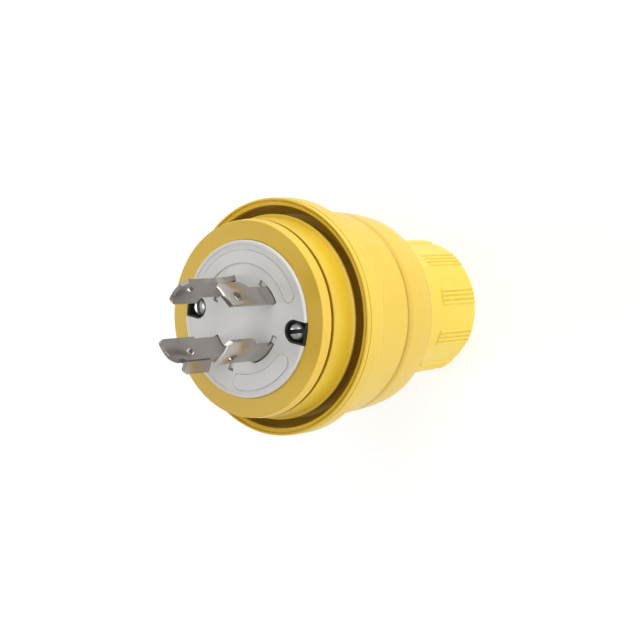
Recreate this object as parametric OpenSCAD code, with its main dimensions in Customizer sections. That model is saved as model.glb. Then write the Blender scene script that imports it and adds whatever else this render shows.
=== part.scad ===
// Locking power plug, four curved blades, watertight body with a skirt and a
// gland nut for the cord.
// Frame: the origin is the centre of the gland nut's flat rear face, +Z runs
// along the plug's axis towards the blades, +X is to the right and +Y is up
// when the blade face is looked at squarely. All lengths are millimetres.

/* [Body] */
// Height of the insert's front face above the rear of the gland nut
face_h = 88.2; // [87.7:0.1:88.7]
// Outer radius of the nose at its front edge
nose_r = 28.05; // [27.6:0.05:28.3]
// Outer radius of the skirt flange
skirt_r = 34.6; // [34.2:0.1:35.5]
// Outer radius of the body just behind the skirt
body_r = 31.4; // [31:0.1:31.8]
// Outer radius of the rear shell at its front edge
rear_r = 30.55; // [30.2:0.05:30.8]
// How far the rear shell draws in towards the nut
rear_draw = 1.0; // [0.4:0.1:1.6]
// Width of the slot between the nose and the skirt
skirt_gap = 2.5; // [2:0.1:2.8]

/* [Insert] */
// Radius of the moulded insert
insert_r = 22.45; // [22.3:0.05:22.48]
// Radius at which the two face screws sit
screw_pcd_r = 18.25; // [18:0.05:18.5]
// Direction of the right-hand face screw, degrees from +X
screw_dir = -11; // [-14:0.5:-8]
// Radius of a face screw's head
screw_head_r = 2.5; // [2.2:0.05:2.6]
// Height of the raised pads on the face
pad_h = 0.2; // [0.1:0.05:0.3]

/* [Blades] */
// Radius of the blades' outer faces
blade_r = 12.7; // [12.5:0.05:12.9]
// Thickness of a blade
blade_t = 1.4; // [1.2:0.05:1.5]
// Length of a blade in front of the face
blade_len = 19.05; // [18:0.05:20]
// Length of the ground blade in front of the face
ground_len = 23.3; // [22:0.1:23.8]
// Radius of the round hole in each blade
blade_hole_r = 1.4; // [1:0.05:1.5]

/* [Gland nut] */
// Outer radius of the plain part of the nut
nut_r = 21.15; // [20.9:0.05:21.4]
// Height of the grip ribs
rib_h = 0.5; // [0.35:0.05:0.6]
// Number of rib groups round the nut
rib_groups = 10; // [8:1:12]
// Length of the ribs along the nut
rib_len = 18; // [15:0.5:21]
// Radius of the opening in the nut's rear
mouth_r = 11; // [10.5:0.1:12]

/* [Cord entry] */
// Radius of the hole through the rubber bushing
cord_r = 8; // [7:0.1:8.5]

/* [Hidden] */
$fn = 96;

yellow = [0.97, 0.80, 0.28];
ivory = [0.80, 0.80, 0.78];
nickel = [0.72, 0.70, 0.68];
steel = [0.62, 0.62, 0.62];
bronze = [0.74, 0.58, 0.30];
dark = [0.16, 0.15, 0.14];

// heights along the axis
zj = face_h - 37.9;        // joint between the front and the rear shell
zr = face_h - 51.5;        // rear face of the rear shell
z_ledge0 = face_h - 32.5;  // rear of the ledge inside the front shell
z_ledge1 = face_h - 27;    // front of the ledge
z_base0 = face_h - 26;     // rear of the terminal base
z_base1 = face_h - 8;      // joint between the base and the face
z_floor = face_h - 0.25;   // face inside the insert's rim
pocket_z = face_h - 4.3;   // floor of the screw pockets
head_z = pocket_z + 0.7;   // underside of a face screw's head
ring_z = face_h - 0.9;     // front of the nose ring
groove_z = face_h - 4.7;   // middle of the groove behind the nose ring
nose_end = face_h - 12.45; // where the nose starts to flare
nose_flare_r = skirt_r - 2.3 - skirt_gap;
z_term = face_h - 19.5;    // height of the terminal screws
blade_ri = blade_r - blade_t;

// Directions of the pieces, degrees from +X, counter-clockwise.
// Each blade: [tail start, tail end, foot start, foot end, head start, head end]
UR = [22, 45.5, 21, 46.5, 21, 58];
UL = [116, 144, 104, 145, 110.5, 154];
LR = [-72, -38, -75, -35, -65.5, -25];
GR = [-152, -115, -154, -113, -157, -113];
TERMS = [(UR[0] + UR[1]) / 2, (UL[0] + UL[1]) / 2, (GR[0] + GR[1]) / 2, (LR[0] + LR[1]) / 2];
tab_dir = -112;            // direction of the ground blade's outward tab
tab_r = 15.35;             // outer radius of the tab

// ---------------------------------------------------------------- helpers

// flat wedge from direction a0 to a1, out to radius rr
module wedge(a0, a1, rr) {
    n = ceil(abs(a1 - a0) / 30);
    k = rr / cos((a1 - a0) / n / 2);
    polygon(concat([[0, 0]], [for (i = [0:n]) let (a = a0 + (a1 - a0) * i / n) [k * cos(a), k * sin(a)]]));
}

// part of a tube between two directions and two heights
module arc_block(a0, a1, r0, r1, z0, z1) {
    translate([0, 0, z0]) linear_extrude(height = z1 - z0)
        intersection() {
            difference() { circle(r = r1); circle(r = r0); }
            wedge(a0, a1, r1 + 2);
        }
}

module radial(a, x0, x1, r, z) {
    rotate([0, 0, a]) translate([x0, 0, z]) rotate([0, 90, 0]) cylinder(r = r, h = x1 - x0);
}

module turned(points) { rotate_extrude() polygon(points); }

function rear_profile(n) = [for (i = [0:n]) let (t = i / n)
    [rear_r - rear_draw * pow(t, 1.8), (zj - 2.1) - (zj - 2.1 - zr - 0.7) * t]];

// ---------------------------------------------------------------- shells

// Soft ring round the face, keyed into the nose by a short sleeve
module nose_ring() {
    color(yellow) turned([
        [insert_r + 0.05, groove_z - 2.8], [25, groove_z - 2.8], [25, groove_z], [26.8, groove_z],
        [26.8, groove_z + 0.6], [nose_r + 0.3, groove_z + 0.6], [nose_r + 0.38, groove_z + 0.72],
        [nose_r + 0.05, ring_z - 0.35], [nose_r - 0.03, ring_z - 0.14], [nose_r - 0.2, ring_z],
        [insert_r + 0.3, ring_z], [insert_r + 0.05, ring_z - 0.25]]);
}

// Nose, skirt and front half of the body, with the ledge the insert sits on
module housing_front() {
    lip_i = skirt_r - 2.3;
    color(yellow) difference() {
        turned([
            [25, zj], [25, z_ledge0], [15, z_ledge0], [15, z_ledge1], [insert_r + 0.05, z_ledge1],
            [insert_r + 0.05, groove_z - 2.8], [25, groove_z - 2.8], [25, groove_z], [26.8, groove_z],
            [26.8, groove_z - 0.6], [nose_r + 0.35, groove_z - 0.6], [nose_r + 0.5, groove_z - 0.75],
            [nose_r + 0.62, groove_z - 3], [nose_r + 0.74, nose_end + 0.5], [nose_r + 0.66, nose_end + 0.12],
            // stepped sealing lip of the nose
            [nose_r + 0.66, nose_end], [nose_flare_r - 0.35, nose_end - 0.2], [nose_flare_r - 0.08, nose_end - 0.36],
            [nose_flare_r, nose_end - 0.6], [nose_flare_r - 0.05, nose_end - 1.1], [nose_flare_r - 0.5, nose_end - 1.3],
            // undercut slot that takes the connector's sleeve
            [27.6, nose_end - 1.9], [27.6, face_h - 20.6], [29.9, face_h - 20.6],
            [lip_i, face_h - 18.2], [lip_i, face_h - 13.75], [lip_i + 0.12, face_h - 13.4],
            // rolled edge of the skirt, with a fine groove on either side
            [lip_i + 1.0, face_h - 13.0], [lip_i + 1.12, face_h - 13.05], [lip_i + 1.2, face_h - 13.45],
            [lip_i + 1.36, face_h - 13.45], [lip_i + 1.46, face_h - 12.95], [lip_i + 1.66, face_h - 12.78],
            [lip_i + 1.95, face_h - 12.86], [lip_i + 2.18, face_h - 13.2], [lip_i + 2.24, face_h - 13.75],
            [lip_i + 2.14, face_h - 14.05], [lip_i + 1.94, face_h - 14.12], [lip_i + 1.94, face_h - 14.32],
            [lip_i + 2.2, face_h - 14.4], [lip_i + 2.26, face_h - 14.6],
            [skirt_r, face_h - 16.5], [skirt_r, face_h - 19.0], [skirt_r - 0.2, face_h - 19.7],
            [skirt_r - 0.75, face_h - 20.2], [body_r + 0.75, face_h - 20.7], [body_r + 0.2, face_h - 21.1],
            [body_r, face_h - 21.8], [rear_r + 0.3, zj + 1.2], [rear_r + 0.1, zj + 0.8],
            [rear_r - 0.95, zj + 0.35], [rear_r - 1.0, zj + 0.25], [rear_r - 1.0, zj]]);
        // seats of the two threaded inserts
        for (s = [0, 180]) rotate([0, 0, screw_dir + s]) translate([screw_pcd_r, 0, z_ledge0 - 1])
            cylinder(r = 2.5, h = z_ledge1 - z_ledge0 + 2);
    }
}

// Rear half of the body with the threaded neck for the nut, plain here
module housing_rear() {
    color(yellow) turned(concat(
        [[10.5, zr + 5], [22, zr + 5], [22, z_ledge0 - 0.3], [24.6, z_ledge0 - 0.3], [24.9, z_ledge0 - 0.6],
         [24.9, zj + 3.55], [23.05, zj + 3.55], [23.05, zj + 1.45], [24.9, zj + 1.45], [24.9, zj], [rear_r - 1.0, zj], [rear_r - 1.0, zj - 0.22],
         [rear_r - 0.62, zj - 0.42], [rear_r - 0.32, zj - 0.8], [rear_r - 0.12, zj - 1.35]],
        rear_profile(9),
        [[rear_r - rear_draw - 0.25, zr + 0.2], [rear_r - rear_draw - 0.75, zr],
         [17.4, zr], [17.4, 10.2], [16.7, 9.5], [14, 9.5], [14, 22], [10.5, 30]]));
}

// Ring that seals the joint between the two shells
module shell_oring() {
    color(dark) rotate_extrude() translate([24.02, zj + 2.5]) circle(r = 0.95, $fn = 32);
}

// ---------------------------------------------------------------- insert

// outline of a pad that follows the rim, with round ends
module pad_outline(a0, a1, rc, hw) {
    intersection() {
        difference() { circle(r = rc + hw); circle(r = rc - hw); }
        wedge(a0, a1, rc + hw + 2);
    }
    for (a = [a0, a1]) translate([rc * cos(a), rc * sin(a)]) circle(r = hw - 0.03, $fn = 48);
}

// bare pad, raised a little
module face_pad(a0, a1, rc, hw) {
    linear_extrude(height = pad_h + 0.3) pad_outline(a0, a1, rc, hw);
}

// fine groove round a pad
module pad_groove(a0, a1, rc, hw) {
    linear_extrude(height = 2) difference() {
        pad_outline(a0, a1, rc, hw + 0.27);
        pad_outline(a0, a1, rc, hw);
    }
}

// U-shaped pocket for a face screw, open to the rim
module screw_pocket(a) {
    rotate([0, 0, a]) {
        translate([screw_pcd_r, 0, pocket_z]) cylinder(r = 3.35, h = 10);
        translate([screw_pcd_r, -3.3, pocket_z]) cube([6, 6.6, 10]);
        translate([screw_pcd_r, 0, z_ledge0]) cylinder(r = 1.65, h = 60);
    }
}

// slot in the face for one blade and, beside it, for its wider head
module blade_slot(a0, a1) { arc_block(a0, a1, blade_ri - 0.22, blade_r + 0.22, z_base1 - 1, face_h + 1); }

// Front half of the insert: face, pads, blade slots and screw pockets
module insert_face() {
    color(ivory) difference() {
        union() {
            turned([[0, z_base1], [insert_r, z_base1], [insert_r, face_h - 0.5], [insert_r - 0.12, face_h - 0.15],
                    [insert_r - 0.45, face_h], [insert_r - 1.0, face_h], [insert_r - 1.15, z_floor], [0, z_floor]]);
            translate([0, 0, z_floor - 0.3]) face_pad(21, 136, 17.8, 1.75);
            translate([0, 0, z_floor - 0.3]) face_pad(-98, -42, 18.0, 2.2);
        }
        translate([0, 0, z_floor - 0.28]) pad_groove(21, 136, 17.8, 1.75);
        translate([0, 0, z_floor - 0.28]) pad_groove(-98, -42, 18.0, 2.2);
        blade_slot(UR[2] - 0.5, UR[5] + 1.2);
        blade_slot(UL[2] - 0.5, UL[5] + 0.8);
        blade_slot(LR[2] - 0.5, LR[5] + 2);
        blade_slot(GR[4] - 0.2, GR[5] + 4.4);
        // way for the ground blade's tab
        rotate([0, 0, tab_dir]) translate([blade_ri, -1.0, z_base1 - 1]) cube([tab_r + 0.5 - blade_ri, 2.0, 12]);
        screw_pocket(screw_dir);
        screw_pocket(screw_dir + 180);
    }
}

// Terminal base: holds the blade tails, clamps and screws, and closes the
// unused ends of the face's slots with tongues
module insert_base() {
    zt = z_floor - 0.55;
    color(ivory) difference() {
        union() {
            translate([0, 0, z_base0]) cylinder(r = insert_r, h = z_base1 - z_base0);
            arc_block(UR[3] + 0.7, UR[5] - 0.9, blade_ri + 0.1, blade_r - 0.1, z_base1 - 0.5, zt);
            arc_block(UL[3] + 0.7, UL[5] - 1.2, blade_ri + 0.1, blade_r - 0.1, z_base1 - 0.5, zt);
            arc_block(LR[3] + 0.7, LR[5] - 0.4, blade_ri + 0.1, blade_r - 0.1, z_base1 - 0.5, zt);
            rotate([0, 0, tab_dir]) translate([blade_r + 0.15, -0.75, z_base1 - 0.5])
                cube([tab_r - 0.35 - blade_r, 1.5, zt - z_base1 + 0.5]);
        }
        // tail slots
        for (b = [UR, UL, LR, GR])
            arc_block(b[0] - 0.4, b[1] + 0.4, blade_ri - 0.06, blade_r + 0.06, z_base0 + 2, z_base1 + 0.001);
        for (t = TERMS) {
            // wire chamber, open to the rear
            rotate([0, 0, t]) translate([6.2, -3.9, z_base0 - 1]) cube([5.35, 7.8, 12.2]);
            // screw way and its counterbore
            radial(t, 11, 15.4, 2.05, z_term);
            radial(t, 15.3, 24, 3.6, z_term);
        }
        for (s = [0, 180]) rotate([0, 0, screw_dir + s]) translate([screw_pcd_r, 0, z_ledge0])
            cylinder(r = 1.65, h = 40);
    }
}

// Flat seal between the base and the ledge
module insert_gasket() {
    color(dark) difference() {
        translate([0, 0, z_ledge1]) cylinder(r = 22.3, h = z_base0 - z_ledge1);
        translate([0, 0, z_ledge1 - 1]) cylinder(r = 16, h = 4);
        for (s = [0, 180]) rotate([0, 0, screw_dir + s]) translate([screw_pcd_r, 0, z_ledge1 - 1])
            cylinder(r = 1.65, h = 4);
    }
}

// ---------------------------------------------------------------- blades

// tube with a bevelled tip, which the blade outlines are cut from
module blade_tube(tip) {
    turned([[blade_ri, z_base0 + 2.1], [blade_r, z_base0 + 2.1], [blade_r, tip - 1.4], [blade_r - 0.1, tip - 0.85],
            [blade_r - 0.38, tip - 0.1], [blade_r - 0.46, tip], [blade_ri + 0.12, tip], [blade_ri, tip - 0.14]]);
}

// cuts away the blade between two directions and two heights
module clear(a0, a1, z0, z1) {
    translate([0, 0, z0]) linear_extrude(height = z1 - z0) wedge(a0, a1, blade_r + 3);
}

// blade blank between two directions
module blank(a0, a1, tip) {
    intersection() {
        blade_tube(tip);
        translate([0, 0, z_base0]) linear_extrude(height = 60) wedge(a0, a1, blade_r + 3);
    }
}

// sloping corner, seen along the radius: w across and h up from the blade's
// edge in direction a, cut a little past both sides
module bevel_cut(a, z, w, h, s) {
    e = 0.12;
    rotate([0, 0, a]) translate([0, 0, z]) rotate([90, 0, 90]) linear_extrude(height = blade_r + 3)
        polygon([[s * w * (1 + e), -h * e], [-s * w * e, h * (1 + e)], [-s * w * e, -h * e]]);
}

// round contact hole through a blade
module contact_hole(a) { radial(a, 6, 18, blade_hole_r, face_h + 14.1); }

// b: directions, zf: top of the foot, zs: start of the head, len: reach,
// c: width and height of the corner drawn in at the tip, f: slope of the foot
module blade(b, zf, zs, len, hole, term, c, f) {
    tip = face_h + len;
    color(nickel) difference() {
        blank(min(b[2], b[4]), b[5], tip);
        // narrow neck under the head, on the side that locks
        clear(b[3], b[5] + 8, z_base0, face_h + zs);
        // tail, set in from the neck on both sides
        clear(b[1], b[3] + 6, z_base0, z_base1 + 0.15);
        clear(min(b[2], b[4]) - 8, b[0], z_base0, z_base1 + 0.15);
        if (b[4] > b[2]) clear(b[2] - 8, b[4], face_h + zf, tip + 2);
        contact_hole(hole);
        radial(term, 6, 18, 2.05, z_term);
        // drawn-in corners of the head
        bevel_cut(b[5], tip, 1.3, -1.6, -1);
        bevel_cut(b[5], face_h + zs, 1.6, 1.5, -1);
        bevel_cut(b[4], tip, c[0], -c[1], 1);
        if (f[0] > 0) bevel_cut(b[2], face_h + zf, f[0], -f[1], 1);
    }
}

module blade_upper_right() { blade(UR, 2, 7.7, blade_len, 32.5, TERMS[0], [3.2, 1.5], [0, 0]); }
module blade_upper_left() { blade(UL, 5.3, 7.0, blade_len, 127, TERMS[1], [1.6, 1.5], [1.44, 4.9]); }
module blade_lower_right() { blade(LR, 0.9, 7.1, blade_len, -52, TERMS[3], [0.6, 0.5], [0, 0]); }

// Longest blade, with the tab that stands out from one edge
module blade_ground() {
    tip = face_h + ground_len;
    color(nickel) difference() {
        union() {
            difference() {
                blank(GR[4], GR[5], tip);
                clear(GR[1], GR[5] + 8, z_base0, z_base1 + 0.15);
                clear(GR[4] - 8, GR[0], z_base0, z_base1 + 0.15);
                clear(GR[4] - 8, GR[2], z_base1 + 0.1, face_h + 9.5);
                // drawn in ahead of the tab
                clear(GR[5] - 6, GR[5] + 8, face_h + 19.3, tip + 2);
            }
            // tab
            rotate([0, 0, tab_dir]) difference() {
                translate([blade_ri + 0.25, -blade_t / 2 - 0.3, face_h + 9.3])
                    cube([tab_r - blade_ri - 0.25, blade_t, 10.0]);
                translate([tab_r, 5, face_h + 19.4]) rotate([90, 0, 0])
                    linear_extrude(height = 10) polygon([[0.1, 0.1], [-1.0, 0.1], [0.1, -1.2]]);
            }
        }
        contact_hole(-133);
        radial(TERMS[2], 6, 18, 2.05, z_term);
        bevel_cut(GR[5] - 6, tip, 2.0, -2.4, -1);
        bevel_cut(GR[4], tip, 0.9, -1.2, 1);
    }
}

// ---------------------------------------------------------------- terminals

// Plate that draws the wire against the blade's tail
module clamp_plate(a) {
    color(bronze) rotate([0, 0, a]) difference() {
        translate([8.3, -3.3, z_term - 3.9]) cube([1.3, 6.6, 7.6]);
        translate([8, 0, z_term]) rotate([0, 90, 0]) cylinder(r = 1.9, h = 2);
        // serrations on the wire side
        for (k = [0:2]) translate([9.6, -4, z_term - 3.1 + k * 0.75]) rotate([0, 45, 0])
            translate([-0.18, 0, -0.18]) cube([0.36, 8, 0.36]);
    }
}

module terminal_clamp_1() { clamp_plate(TERMS[0]); }
module terminal_clamp_2() { clamp_plate(TERMS[1]); }
module terminal_clamp_3() { clamp_plate(TERMS[2]); }
module terminal_clamp_4() { clamp_plate(TERMS[3]); }

// Terminal screw with a slotted head, turned from the insert's side
module terminal_screw(a, c) {
    color(c) rotate([0, 0, a]) translate([0, 0, z_term]) difference() {
        rotate([0, 90, 0]) union() {
            translate([0, 0, 7.2]) cylinder(r = 1.9, h = 8.3);
            translate([0, 0, 15.45]) cylinder(r = 3.4, h = 2.0);
            translate([0, 0, 17.45]) cylinder(r1 = 3.4, r2 = 2.9, h = 0.4);
        }
        translate([16.6, -5, -0.5]) cube([3, 10, 1.0]);
    }
}

module terminal_screw_1() { terminal_screw(TERMS[0], bronze); }
module terminal_screw_2() { terminal_screw(TERMS[1], bronze); }
module terminal_screw_3() { terminal_screw(TERMS[2], [0.3, 0.6, 0.35]); }
module terminal_screw_4() { terminal_screw(TERMS[3], nickel); }

// ---------------------------------------------------------------- fasteners

// Long slotted screw that ties face, base and housing together
module face_screw(a, turn) {
    hz = head_z;
    color(steel) rotate([0, 0, a]) translate([screw_pcd_r, 0, 0]) difference() {
        turned([[0, z_ledge0 + 0.6], [1.1, z_ledge0 + 0.6], [1.5, z_ledge0 + 1.1], [1.5, hz], [screw_head_r, hz],
                [screw_head_r, hz + 1.5], [screw_head_r - 0.12, hz + 2.05], [screw_head_r - 0.5, hz + 2.55],
                [screw_head_r - 1.15, hz + 2.88], [0.5, hz + 3.0], [0, hz + 3.0]]);
        rotate([0, 0, turn - a]) translate([-4, -0.6, hz + 1.5]) cube([8, 1.2, 3]);
    }
}

module face_screw_right() { face_screw(screw_dir, 4); }
module face_screw_left() { face_screw(screw_dir + 180, 94); }

// Rubber cup that lines a screw's pocket and seals under its head
module screw_seal(a) {
    color(dark) rotate([0, 0, a]) difference() {
        union() {
            translate([screw_pcd_r, 0, pocket_z]) cylinder(r = 3.3, h = z_floor - 0.3 - pocket_z);
            intersection() {
                translate([screw_pcd_r, -3.25, pocket_z]) cube([6, 6.5, z_floor - 0.3 - pocket_z]);
                cylinder(r = insert_r, h = 100);
            }
        }
        translate([screw_pcd_r, 0, head_z]) cylinder(r = 2.85, h = 10);
        translate([screw_pcd_r, -2.8, head_z]) cube([insert_r - 0.6 - screw_pcd_r, 5.6, 10]);
        translate([screw_pcd_r, 0, z_ledge0]) cylinder(r = 1.55, h = 60);
    }
}

module screw_seal_right() { screw_seal(screw_dir); }
module screw_seal_left() { screw_seal(screw_dir + 180); }

// Threaded sleeve set in the ledge, its thread plain here
module screw_insert(a) {
    color(bronze) rotate([0, 0, a]) translate([screw_pcd_r, 0, z_ledge0]) difference() {
        cylinder(r = 2.5, h = z_ledge1 - z_ledge0);
        translate([0, 0, -1]) cylinder(r = 1.5, h = 8);
    }
}

module screw_insert_right() { screw_insert(screw_dir); }
module screw_insert_left() { screw_insert(screw_dir + 180); }

// ---------------------------------------------------------------- cord entry

// Rubber bushing that grips and seals the cord
module cord_bushing() {
    color(dark) turned([[cord_r, 6.6], [15.4, 6.6], [15.4, 9.4], [13.9, 9.4], [13.9, 21.9], [10.5, 29.7],
                        [cord_r, 29.7]]);
}

// Slip ring that lets the nut turn without twisting the bushing
module thrust_washer() {
    color(ivory) difference() {
        translate([0, 0, 5]) cylinder(r = 16.6, h = 1.6);
        translate([0, 0, 4]) cylinder(r = 9.2, h = 4);
    }
}

// Compression nut with grip ribs in groups
module gland_nut() {
    pitch = 3.75;
    color(yellow) difference() {
        union() {
            turned([[0, 0], [nut_r - 0.6, 0], [nut_r - 0.15, 0.18], [nut_r, 0.5], [nut_r, zr - 1.4],
                    [nut_r - 0.15, zr - 0.6], [nut_r - 0.6, zr - 0.2], [0, zr - 0.2]]);
            intersection() {
                turned([[nut_r - 1.2, 0.3], [nut_r - 0.4, 0.3], [nut_r + rib_h + 0.3, 1.1],
                        [nut_r + rib_h + 0.3, rib_len], [nut_r - 0.3, rib_len + 1.2], [nut_r - 1.2, rib_len + 1.2]]);
                union() for (g = [0:rib_groups - 1], k = [-1.5:1:1.5])
                    rotate([0, 0, 10 + g * 360 / rib_groups + k * pitch])
                        translate([nut_r - 0.12, 0, 0]) cylinder(r = rib_h + 0.12, h = rib_len + 2, $fn = 32);
            }
        }
        translate([0, 0, -1]) cylinder(r = mouth_r, h = 8);
        translate([0, 0, -0.01]) cylinder(r1 = mouth_r + 0.8, r2 = mouth_r, h = 0.8);
        translate([0, 0, 5]) cylinder(r = 17.5, h = zr);
    }
}

// ---------------------------------------------------------------- drawing

nose_ring();
housing_front();
housing_rear();
shell_oring();
insert_face();
insert_base();
insert_gasket();
blade_upper_right();
blade_upper_left();
blade_lower_right();
blade_ground();
terminal_clamp_1();
terminal_clamp_2();
terminal_clamp_3();
terminal_clamp_4();
terminal_screw_1();
terminal_screw_2();
terminal_screw_3();
terminal_screw_4();
face_screw_left();
face_screw_right();
screw_seal_left();
screw_seal_right();
screw_insert_left();
screw_insert_right();
cord_bushing();
thrust_washer();
gland_nut();
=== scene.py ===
import math
import bpy
import bmesh
from mathutils import Matrix, Vector


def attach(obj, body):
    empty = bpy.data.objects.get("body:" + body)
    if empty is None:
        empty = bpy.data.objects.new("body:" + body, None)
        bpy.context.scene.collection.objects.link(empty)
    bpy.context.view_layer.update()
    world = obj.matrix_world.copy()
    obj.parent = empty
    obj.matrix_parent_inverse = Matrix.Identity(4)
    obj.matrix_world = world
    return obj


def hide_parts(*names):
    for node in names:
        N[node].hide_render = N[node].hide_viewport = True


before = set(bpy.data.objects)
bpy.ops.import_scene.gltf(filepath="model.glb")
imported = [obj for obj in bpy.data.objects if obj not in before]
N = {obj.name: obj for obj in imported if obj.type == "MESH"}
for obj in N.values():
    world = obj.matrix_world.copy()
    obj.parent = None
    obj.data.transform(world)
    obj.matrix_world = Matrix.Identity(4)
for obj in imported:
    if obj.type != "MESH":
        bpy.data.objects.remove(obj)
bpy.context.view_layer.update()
scene = bpy.context.scene
scene.view_settings.view_transform = "Standard"
scene.view_settings.look = "None"

# ---------------------------------------------------------------- camera
cam_data = bpy.data.cameras.new("camera")
cam_data.sensor_fit = "HORIZONTAL"
cam_data.sensor_width = 36.0
cam_data.lens = 84.375
cam_data.clip_start = 0.01
cam = bpy.data.objects.new("camera", cam_data)
right = Vector((0.78247, -0.03075, -0.62192)).normalized()
back = Vector((0.62268, 0.03864, 0.78152)).normalized()
up = back.cross(right).normalized()
right = up.cross(back).normalized()
m = Matrix((right, up, back)).transposed().to_4x4()
m.translation = Vector((0.28103, 0.01550, 0.40624))
cam.matrix_world = m
scene.collection.objects.link(cam)
scene.camera = cam

# ---------------------------------------------------------------- helpers


def lin(r, g, b):
    def f(c):
        c /= 255.0
        return c / 12.92 if c <= 0.04045 else ((c + 0.055) / 1.055) ** 2.4
    return (f(r), f(g), f(b), 1.0)


class Mat:
    """Small helper to write a node material."""

    def __init__(self, name):
        self.m = bpy.data.materials.new(name)
        self.m.use_nodes = True
        self.t = self.m.node_tree
        self.t.nodes.clear()
        self.out = self.t.nodes.new("ShaderNodeOutputMaterial")
        self.b = self.t.nodes.new("ShaderNodeBsdfPrincipled")
        self.t.links.new(self.b.outputs[0], self.out.inputs[0])
        self.co = self.t.nodes.new("ShaderNodeTexCoord").outputs["Object"]

    def node(self, kind, **kw):
        n = self.t.nodes.new(kind)
        for k, v in kw.items():
            setattr(n, k, v)
        return n

    def link(self, a, b):
        self.t.links.new(a, b)

    def set(self, **kw):
        for k, v in kw.items():
            self.b.inputs[k.replace("_", " ")].default_value = v

    def noise(self, scale, detail=3.0, rough=0.5, co=None, stretch=None, distortion=0.0):
        n = self.node("ShaderNodeTexNoise")
        n.inputs["Scale"].default_value = scale
        n.inputs["Detail"].default_value = detail
        n.inputs["Roughness"].default_value = rough
        n.inputs["Distortion"].default_value = distortion
        src = co or self.co
        if stretch:
            mp = self.node("ShaderNodeMapping")
            mp.inputs["Scale"].default_value = stretch
            self.link(src, mp.inputs["Vector"])
            src = mp.outputs[0]
        self.link(src, n.inputs["Vector"])
        return n.outputs["Fac"]

    def ramp(self, fac, stops):
        r = self.node("ShaderNodeValToRGB")
        el = r.color_ramp.elements
        while len(el) > 1:
            el.remove(el[-1])
        el[0].position, el[0].color = stops[0][0], stops[0][1]
        for p, c in stops[1:]:
            e = el.new(p)
            e.color = c
        self.link(fac, r.inputs["Fac"])
        return r.outputs["Color"]

    def math(self, op, a, b=None, clamp=False):
        n = self.node("ShaderNodeMath", operation=op)
        n.use_clamp = clamp
        for i, v in enumerate((a, b)):
            if v is None:
                continue
            if isinstance(v, (int, float)):
                n.inputs[i].default_value = v
            else:
                self.link(v, n.inputs[i])
        return n.outputs[0]

    def maprange(self, v, a, b, c, d):
        n = self.node("ShaderNodeMapRange")
        n.inputs["From Min"].default_value = a
        n.inputs["From Max"].default_value = b
        n.inputs["To Min"].default_value = c
        n.inputs["To Max"].default_value = d
        self.link(v, n.inputs["Value"])
        return n.outputs[0]

    def mix(self, fac, a, b, blend="MIX"):
        n = self.node("ShaderNodeMix", data_type="RGBA", blend_type=blend)
        for sock, v in ((n.inputs[0], fac), (n.inputs[6], a), (n.inputs[7], b)):
            if isinstance(v, (int, float)):
                sock.default_value = v
            elif isinstance(v, tuple):
                sock.default_value = v
            else:
                self.link(v, sock)
        return n.outputs[2]

    def bump(self, height, strength, distance, normal=None):
        n = self.node("ShaderNodeBump")
        n.inputs["Strength"].default_value = strength
        n.inputs["Distance"].default_value = distance
        self.link(height, n.inputs["Height"])
        if normal is not None:
            self.link(normal, n.inputs["Normal"])
        return n.outputs[0]


def assign(name, mat):
    o = N[name] if isinstance(name, str) else name
    o.data.materials.clear()
    o.data.materials.append(mat.m if isinstance(mat, Mat) else mat)


# ---------------------------------------------------------------- materials
def moulded(name, base, deep, pale, rough, grain, bump_mm, ior=1.5, painted_shade_bands=None, sheen=0.0):
    """Moulded rubber or plastic: soft cloudy tone, fine grain, rims paled partly as wear and partly as painted
    edge highlight, painted shade in the given groove bands.
    """
    k = Mat(name)
    cloud = k.noise(38, 4, 0.55)
    fine = k.noise(grain, 3, 0.6)
    geo = k.node("ShaderNodeNewGeometry")
    # convex rims paled: partly wear, partly painted edge highlight
    rim_wear_and_highlight = k.maprange(geo.outputs["Pointiness"], 0.48, 0.56, 0.0, 1.0)
    tone = k.ramp(cloud, [(0.30, deep), (0.52, base), (0.75, pale)])
    tone = k.mix(k.math("MULTIPLY", fine, 0.10), tone, deep)
    tone = k.mix(k.math("MULTIPLY", rim_wear_and_highlight, 0.25), tone, pale)
    if painted_shade_bands:
        # painted shade in the grooves, the deep channel and the gap at the rear edge, darker inside bands of
        # height and radius
        xyz = k.node("ShaderNodeSeparateXYZ")
        k.link(k.co, xyz.inputs[0])
        rr = k.math("SQRT", k.math("ADD", k.math("MULTIPLY", xyz.outputs[0], xyz.outputs[0]),
                                   k.math("MULTIPLY", xyz.outputs[1], xyz.outputs[1])))
        for z0, z1, r0, r1, soft, amount, shade_colour in painted_shade_bands:
            band = k.math("MINIMUM", k.maprange(xyz.outputs[2], z0 - soft, z0 + soft, 0.0, 1.0),
                          k.maprange(xyz.outputs[2], z1 - soft, z1 + soft, 1.0, 0.0))
            ring = k.math("MINIMUM", k.maprange(rr, r0 - soft, r0 + soft, 0.0, 1.0),
                          k.maprange(rr, r1 - soft, r1 + soft, 1.0, 0.0))
            tone = k.mix(k.math("MULTIPLY", k.math("MINIMUM", band, ring, True), amount), tone, shade_colour)
    k.link(tone, k.b.inputs["Base Color"])
    k.b.inputs["IOR"].default_value = ior
    if sheen:
        k.b.inputs["Sheen Weight"].default_value = sheen
        k.b.inputs["Sheen Roughness"].default_value = 0.3
    r = k.maprange(k.noise(95, 5, 0.65), 0.3, 0.7, rough - 0.05, rough + 0.06)
    k.link(r, k.b.inputs["Roughness"])
    n = k.bump(fine, 0.35, bump_mm * 0.001)
    n = k.bump(cloud, 0.12, 0.0002, n)
    k.link(n, k.b.inputs["Normal"])
    return k


# painted shade colours for the bands: the deep channel, groove 1, groove 2 and the shadow gap at the rear edge
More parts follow.
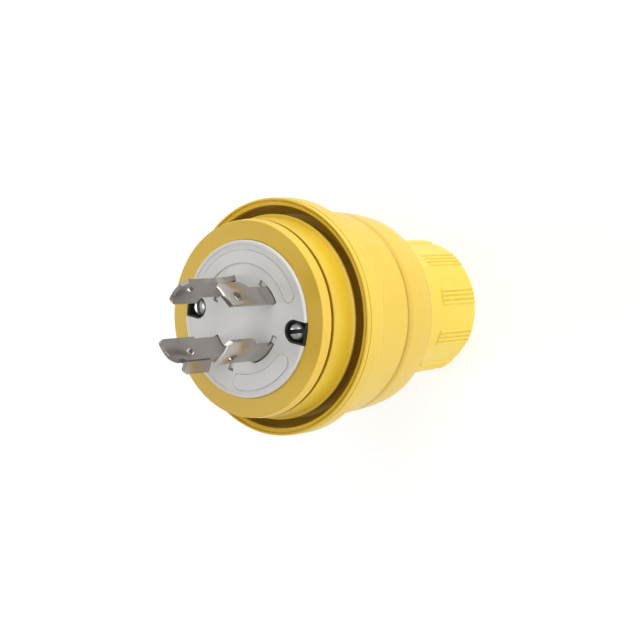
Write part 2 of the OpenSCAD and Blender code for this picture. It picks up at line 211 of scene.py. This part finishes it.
SHADE_BROWN = (0.30, 0.145, 0.022, 1)
SHADE_GOLD = (0.56, 0.33, 0.006, 1)
# nose ring and body are one yellow elastomer; the ring's more orange base and the body's more lemon base are
# painted light, matching the dimmer front face and the brighter, more reflective sides
elastomer = moulded("yellow_elastomer", (0.78, 0.485, 0.012, 1), (0.73, 0.445, 0.008, 1), (0.81, 0.525, 0.026, 1), 0.42, 900, 0.03,
                    ior=1.8, sheen=0.10, painted_shade_bands=[(0.0828, 0.0842, 0.0240, 0.0281, 0.0001, 0.70, SHADE_BROWN)])
body_elastomer = moulded("yellow_elastomer_body", (0.75, 0.505, 0.016, 1), (0.70, 0.465, 0.010, 1), (0.78, 0.545, 0.030, 1), 0.42, 900, 0.03,
                         ior=1.8, sheen=0.10,
                         painted_shade_bands=[(0.0670, 0.0747, 0.0270, 0.03225, 0.0003, 0.62, SHADE_BROWN),
                                 (0.0828, 0.0842, 0.0240, 0.0281, 0.0001, 0.70, SHADE_BROWN),
                                 (0.0481, 0.0507, 0.0285, 0.03042, 0.0003, 0.75, SHADE_GOLD),
                                 (0.0360, 0.03765, 0.0280, 0.0300, 0.0002, 0.95, SHADE_GOLD)])
nut_nylon = moulded("yellow_nylon", (0.82, 0.60, 0.040, 1), (0.77, 0.55, 0.032, 1), (0.85, 0.64, 0.065, 1), 0.40, 700, 0.03, ior=1.7)
face_nylon = moulded("light_grey_nylon", (0.74, 0.73, 0.70, 1), (0.67, 0.66, 0.63, 1), (0.79, 0.785, 0.765, 1), 0.42, 1100, 0.03)
washer_nylon = moulded("washer_nylon", (0.70, 0.69, 0.63, 1), (0.62, 0.61, 0.55, 1), (0.76, 0.75, 0.70, 1), 0.45, 900, 0.03)
rubber = moulded("dark_rubber", (0.022, 0.021, 0.020, 1), (0.014, 0.013, 0.013, 1), (0.040, 0.038, 0.036, 1), 0.62, 1200, 0.05)


def metal(name, base, dull, rough, stretch, bump_s=0.15, metallic=1.0, slot_shade_z=None):
    k = Mat(name)
    streak = k.noise(420, 4, 0.6, stretch=stretch)
    cloud = k.noise(60, 3, 0.5)
    tone = k.ramp(cloud, [(0.35, dull), (0.62, base)])
    tone = k.mix(k.math("MULTIPLY", streak, 0.16), tone, dull)
    if slot_shade_z:
        # painted shade: darkens the slot floor and everything of the screw below it, the head's sides and under
        # the head
        xyz = k.node("ShaderNodeSeparateXYZ")
        k.link(k.co, xyz.inputs[0])
        tone = k.mix(k.maprange(xyz.outputs[2], slot_shade_z[0], slot_shade_z[1], 0.93, 0.0), tone, (0.02, 0.018, 0.016, 1))
    k.link(tone, k.b.inputs["Base Color"])
    k.b.inputs["Metallic"].default_value = metallic
    r = k.maprange(streak, 0.3, 0.7, rough - 0.05, rough + 0.08)
    k.link(r, k.b.inputs["Roughness"])
    k.link(k.bump(streak, bump_s, 0.00004), k.b.inputs["Normal"])
    return k


nickel = metal("nickel_plated_brass", (0.47, 0.44, 0.42, 1), (0.38, 0.355, 0.335, 1), 0.21, (1.0, 1.0, 0.10), bump_s=0.08, metallic=0.9)
steel = metal("steel_screw", (0.80, 0.80, 0.79, 1), (0.60, 0.60, 0.59, 1), 0.24, (1.0, 1.0, 0.3))
face_steel = metal("face_screw_steel", (0.86, 0.86, 0.85, 1), (0.68, 0.68, 0.67, 1), 0.30, (1.0, 1.0, 0.3), metallic=0.8, slot_shade_z=(0.0861, 0.0865))
brass = metal("brass", (0.72, 0.50, 0.20, 1), (0.50, 0.33, 0.12, 1), 0.30, (1.0, 1.0, 0.3))
green = metal("green_screw", (0.10, 0.30, 0.13, 1), (0.05, 0.18, 0.07, 1), 0.34, (1.0, 1.0, 0.3), metallic=0.7)

assign("nose_ring", elastomer)
for n in ("housing_front", "housing_rear"):
    assign(n, body_elastomer)
assign("gland_nut", nut_nylon)
for n in ("insert_face", "insert_base"):
    assign(n, face_nylon)
assign("thrust_washer", washer_nylon)
for n in ("shell_oring", "insert_gasket", "cord_bushing", "screw_seal_left", "screw_seal_right"):
    assign(n, rubber)
for n in ("blade_upper_right", "blade_upper_left", "blade_lower_right", "blade_ground"):
    assign(n, nickel)
for n in ("face_screw_left", "face_screw_right"):
    assign(n, face_steel)
assign("terminal_screw_4", steel)
for n in ("terminal_clamp_1", "terminal_clamp_2", "terminal_clamp_3", "terminal_clamp_4",
          "terminal_screw_1", "terminal_screw_2", "screw_insert_left", "screw_insert_right"):
    assign(n, brass)
assign("terminal_screw_3", green)

# ---------------------------------------------------------------- edges


def eased(name, width, angle=32.0):
    """Copy of a CAD node with its sharp edges eased, shown in its place."""
    src = N[name]
    me = src.data.copy()
    bm = bmesh.new()
    bm.from_mesh(me)
    bmesh.ops.remove_doubles(bm, verts=bm.verts, dist=2e-6)
    bmesh.ops.dissolve_limit(bm, angle_limit=math.radians(0.6), verts=bm.verts, edges=bm.edges)
    bm.to_mesh(me)
    bm.free()
    if me.attributes.get("custom_normal"):
        me.attributes.remove(me.attributes["custom_normal"])
    for pl in me.polygons:
        pl.use_smooth = True
    for e in me.edges:
        e.use_edge_sharp = False
    o = bpy.data.objects.new(name + "_eased", me)
    o.matrix_world = src.matrix_world.copy()
    scene.collection.objects.link(o)
    bv = o.modifiers.new("ease", "BEVEL")
    bv.width = width
    bv.segments = 2
    bv.limit_method = "ANGLE"
    bv.angle_limit = math.radians(angle)
    bv.use_clamp_overlap = True
    bv.harden_normals = True
    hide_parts(name)
    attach(o, "root")
    return o


for n in ("blade_upper_right", "blade_upper_left", "blade_lower_right", "blade_ground"):
    eased(n, 0.00014)
for n in ("face_screw_left", "face_screw_right"):
    eased(n, 0.00012)

# ---------------------------------------------------------------- floor
bm = bmesh.new()
bmesh.ops.create_grid(bm, x_segments=8, y_segments=8, size=6.0)
me = bpy.data.meshes.new("floor")
bm.to_mesh(me)
bm.free()
floor = bpy.data.objects.new("floor", me)
scene.collection.objects.link(floor)
fl = Mat("floor_paper")
tone = fl.ramp(fl.noise(6, 3, 0.5), [(0.3, (0.43, 0.43, 0.43, 1)), (0.7, (0.47, 0.47, 0.47, 1))])
fl.link(tone, fl.b.inputs["Base Color"])
fl.set(Roughness=0.9)
fl.b.inputs["Specular IOR Level"].default_value = 0.2
fl.b.inputs["Emission Color"].default_value = (1, 1, 1, 1)
fl.b.inputs["Emission Strength"].default_value = 0.68
fl.link(fl.bump(fl.noise(400, 3, 0.6), 0.05, 0.0002), fl.b.inputs["Normal"])
me.materials.append(fl.m)

# ---------------------------------------------------------------- light
w = bpy.data.worlds.new("studio")
w.use_nodes = True
w.node_tree.nodes["Background"].inputs[0].default_value = (1.0, 1.0, 1.0, 1)
w.node_tree.nodes["Background"].inputs[1].default_value = 0.22
scene.world = w


def area(name, loc, target, size, energy, color=(1, 1, 1)):
    d = bpy.data.lights.new(name, "AREA")
    d.shape = "RECTANGLE"
    d.size, d.size_y = size
    d.energy = energy
    d.color = color
    o = bpy.data.objects.new(name, d)
    o.location = loc
    o.visible_camera = False
    o.rotation_euler = (Vector(target) - Vector(loc)).to_track_quat("-Z", "Y").to_euler()
    scene.collection.objects.link(o)
    return o


mid = (0, 0, 0.055)
area("right_low", (0.95, 0.05, 0.03), mid, (0.9, 0.35), 5.7)
area("top", (0.20, 0.85, 0.20), mid, (0.8, 0.5), 4.9)
area("low", (0.35, -0.80, 0.15), mid, (0.8, 0.5), 1.9)
area("left", (-0.80, -0.10, 0.35), mid, (0.5, 0.7), 3.0)
area("front", (0.35, 0.10, 0.95), mid, (0.7, 0.7), 3.4)
